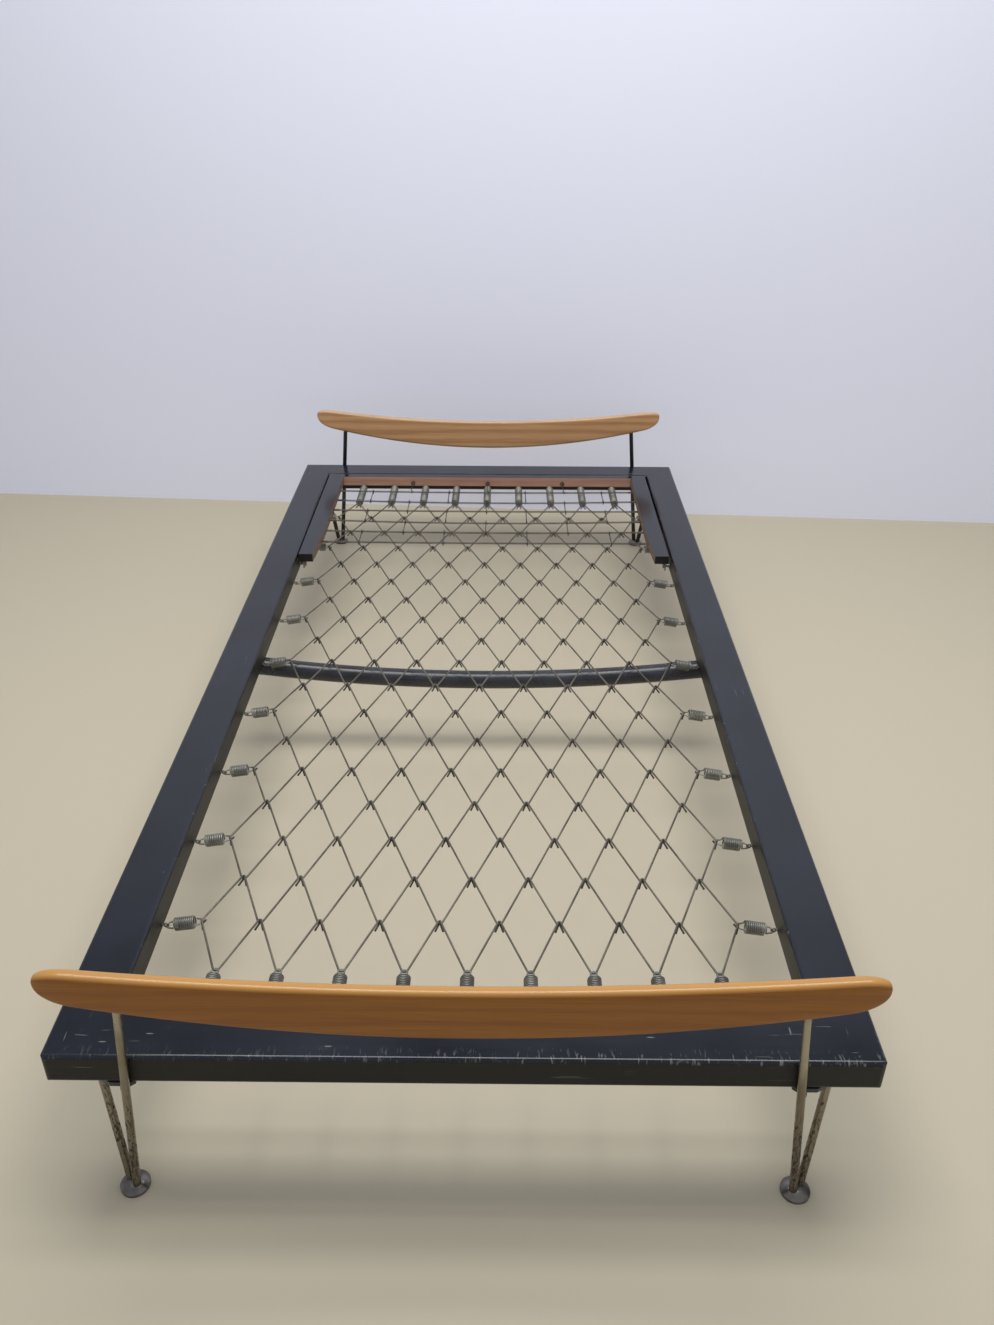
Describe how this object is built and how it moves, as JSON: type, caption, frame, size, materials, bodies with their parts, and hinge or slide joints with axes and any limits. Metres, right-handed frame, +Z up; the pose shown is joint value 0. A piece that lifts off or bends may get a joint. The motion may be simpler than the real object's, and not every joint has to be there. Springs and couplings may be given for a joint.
{
  "type": "sprung daybed frame",
  "caption": "Low black-framed daybed on splayed rod legs, with crescent wooden end boards, a wire-link spring net and a tilting headrest held by ratchet stays.",
  "frame": {"origin": "on the floor, under the middle of the bed frame", "axes": "+Y along the bed towards the head end, +X across the bed, +Z up"},
  "size_m": [0.95, 1.9444, 0.3641],
  "materials": {
    "black_lacquer": "gloss black lacquer, worn at the edges",
    "black_steel": "gloss black enamel",
    "beech_varnished": "satin varnish",
    "beech_bare": "bare planed wood",
    "worn_nickel": "worn plating with rust spots",
    "spring_wire": "dull oiled wire",
    "fittings_steel": "plain steel"
  },
  "bodies": {
    "frame": {"side_rail_left": "black_lacquer", "side_rail_right": "black_lacquer", "foot_rail": "black_lacquer", "head_rail": "black_lacquer", "corner_dowels": "beech_bare", "footboard": "beech_varnished", "headboard": "beech_varnished", "post_rod_foot_left": "worn_nickel", "post_rod_foot_right": "worn_nickel", "post_rod_head_left": "worn_nickel", "post_rod_head_right": "worn_nickel", "brace_rod_foot_left": "worn_nickel", "brace_rod_foot_right": "worn_nickel", "brace_rod_head_left": "worn_nickel", "brace_rod_head_right": "worn_nickel", "foot_disc_foot_left": "worn_nickel", "foot_disc_foot_right": "worn_nickel", "foot_disc_head_left": "worn_nickel", "foot_disc_head_right": "worn_nickel", "leg_plate_foot_left": "black_steel", "leg_plate_foot_right": "black_steel", "leg_plate_head_left": "black_steel", "leg_plate_head_right": "black_steel", "leg_screws": "fittings_steel", "cross_tube": "black_steel", "tube_screws": "fittings_steel", "net_links_main": "spring_wire", "side_springs_left": "spring_wire", "side_springs_right": "spring_wire", "foot_springs": "spring_wire", "rail_eyes": "spring_wire", "hinge_pin_left": "fittings_steel", "hinge_pin_right": "fittings_steel", "rack_left": "fittings_steel", "rack_right": "fittings_steel", "rack_screws": "fittings_steel"},
    "headrest": {"net_links_head": "spring_wire", "head_springs": "spring_wire", "arm_springs": "spring_wire", "headrest_eyes": "spring_wire", "headrest_arm_left": "black_lacquer", "headrest_arm_right": "black_lacquer", "headrest_crossbar": "beech_bare", "headrest_dowels": "beech_bare", "hinge_lug_left": "fittings_steel", "hinge_lug_right": "fittings_steel", "stay_lug_left": "fittings_steel", "stay_lug_right": "fittings_steel", "stay_rivet_left": "fittings_steel", "stay_rivet_right": "fittings_steel", "lug_screws": "fittings_steel", "web_springs": "spring_wire", "web_links": "spring_wire", "web_hooks": "spring_wire"},
    "stay_left": {"stay_left": "fittings_steel"},
    "stay_right": {"stay_right": "fittings_steel"}
  },
  "joints": [
    {"name": "headrest_tilt", "type": "hinge", "parent": "frame", "child": "headrest", "pos_m": [0, 0.40344, 0.194], "axis": [1, 0, 0], "range_deg": [0, 45]},
    {"name": "stay_left_swing", "type": "hinge", "parent": "headrest", "child": "stay_left", "pos_m": [0, 0.60344, 0.194], "axis": [1, 0, 0], "range_deg": [-90, 0]},
    {"name": "stay_right_swing", "type": "hinge", "parent": "headrest", "child": "stay_right", "pos_m": [0, 0.60344, 0.194], "axis": [1, 0, 0], "range_deg": [-90, 0]}
  ],
  "couplings": [
    {"joint": "stay_left_swing", "follows": "headrest_tilt", "ratio": -2},
    {"joint": "stay_right_swing", "follows": "headrest_tilt", "ratio": -2}
  ]
}
